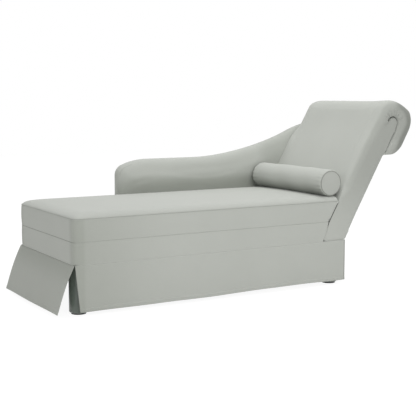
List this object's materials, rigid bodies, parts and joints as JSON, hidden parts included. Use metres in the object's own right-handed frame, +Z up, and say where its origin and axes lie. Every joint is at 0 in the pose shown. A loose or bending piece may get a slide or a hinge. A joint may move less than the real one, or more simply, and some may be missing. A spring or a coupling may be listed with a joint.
{
  "type": "chaise longue",
  "caption": "Upholstered chaise longue: crowned seat on a boxed base, leaning scroll back, one swept arm on the far side, loose round bolster and a skirt open at the corners.",
  "frame": {"origin": "on the floor under the middle of the whole object's box", "axes": "+X along the length from the foot end to the leaning back, +Y from the open front side to the arm, +Z up"},
  "size_m": [1.7838, 0.6784, 0.8323],
  "materials": {
    "frame_wood": "planed, unfinished",
    "leg_finish": "turned, satin dark grey-green lacquer",
    "glide_plastic": "moulded",
    "hardware_steel": "zinc plated",
    "inner_cloth": "non-woven",
    "board": "pressed board",
    "padding": "foam and wadding",
    "upholstery_cloth": "plain close weave, matt sage green",
    "zip_plastic": "moulded"
  },
  "bodies": {
    "root": {"front_rail": "frame_wood", "arm_side_rail": "frame_wood", "foot_rail": "frame_wood", "head_rail": "frame_wood", "foot_cross_rail": "frame_wood", "head_cross_rail": "frame_wood", "leg_blocks": "frame_wood", "back_post_front": "frame_wood", "back_post_arm": "frame_wood", "back_bottom_rail": "frame_wood", "back_middle_rail": "frame_wood", "back_top_rail": "frame_wood", "arm_panel": "frame_wood", "arm_struts": "frame_wood", "leg_foot_front": "leg_finish", "leg_foot_arm": "leg_finish", "leg_head_front": "leg_finish", "leg_head_arm": "leg_finish", "leg_glides": "glide_plastic", "leg_bolts": "hardware_steel", "leg_nuts": "hardware_steel", "back_bolts": "hardware_steel", "back_nuts": "hardware_steel", "arm_bolts": "hardware_steel", "arm_nuts": "hardware_steel", "dust_cover": "inner_cloth", "seat_webbing": "inner_cloth", "seat_lining": "inner_cloth", "back_webbing": "inner_cloth", "back_board": "board", "arm_outer_board": "board", "seat_foam": "padding", "front_wadding": "padding", "arm_side_wadding": "padding", "foot_wadding": "padding", "back_pad": "padding", "scroll_pad": "padding", "side_pad_front": "padding", "side_pad_arm": "padding", "arm_roll": "padding", "arm_inner_pad": "padding", "arm_outer_pad": "padding", "seat_cover": "upholstery_cloth", "base_cover": "upholstery_cloth", "back_cover": "upholstery_cloth", "side_panel_front": "upholstery_cloth", "side_panel_arm": "upholstery_cloth", "rear_cover": "upholstery_cloth", "arm_cover": "upholstery_cloth", "arm_outer_cover": "upholstery_cloth"},
    "bolster": {"bolster_core": "padding", "bolster_cover": "upholstery_cloth", "bolster_end_front": "upholstery_cloth", "bolster_end_arm": "upholstery_cloth", "bolster_zip": "zip_plastic"},
    "foot_skirt": {"foot_skirt": "upholstery_cloth"},
    "front_skirt": {"front_skirt": "upholstery_cloth"},
    "head_skirt": {"head_skirt": "upholstery_cloth"},
    "arm_side_skirt": {"arm_side_skirt": "upholstery_cloth"}
  },
  "joints": [
    {"name": "bolster_lift", "type": "slide", "parent": "root", "child": "bolster", "axis": [0, 0, 1], "range_m": [0, 0.46]},
    {"name": "foot_skirt_swing", "type": "hinge", "parent": "root", "child": "foot_skirt", "pos_m": [-0.8224, -0.33915, 0.2009], "axis": [0, 1, 0], "range_deg": [-22, 38]},
    {"name": "front_skirt_swing", "type": "hinge", "parent": "root", "child": "front_skirt", "pos_m": [-0.8239, -0.33765, 0.2009], "axis": [-1, 0, 0], "range_deg": [0, 60]},
    {"name": "head_skirt_swing", "type": "hinge", "parent": "root", "child": "head_skirt", "pos_m": [0.4906, -0.33915, 0.2009], "axis": [0, -1, 0], "range_deg": [0, 60]},
    {"name": "arm_side_skirt_swing", "type": "hinge", "parent": "root", "child": "arm_side_skirt", "pos_m": [-0.8239, 0.27135, 0.2009], "axis": [1, 0, 0], "range_deg": [0, 60]}
  ]
}
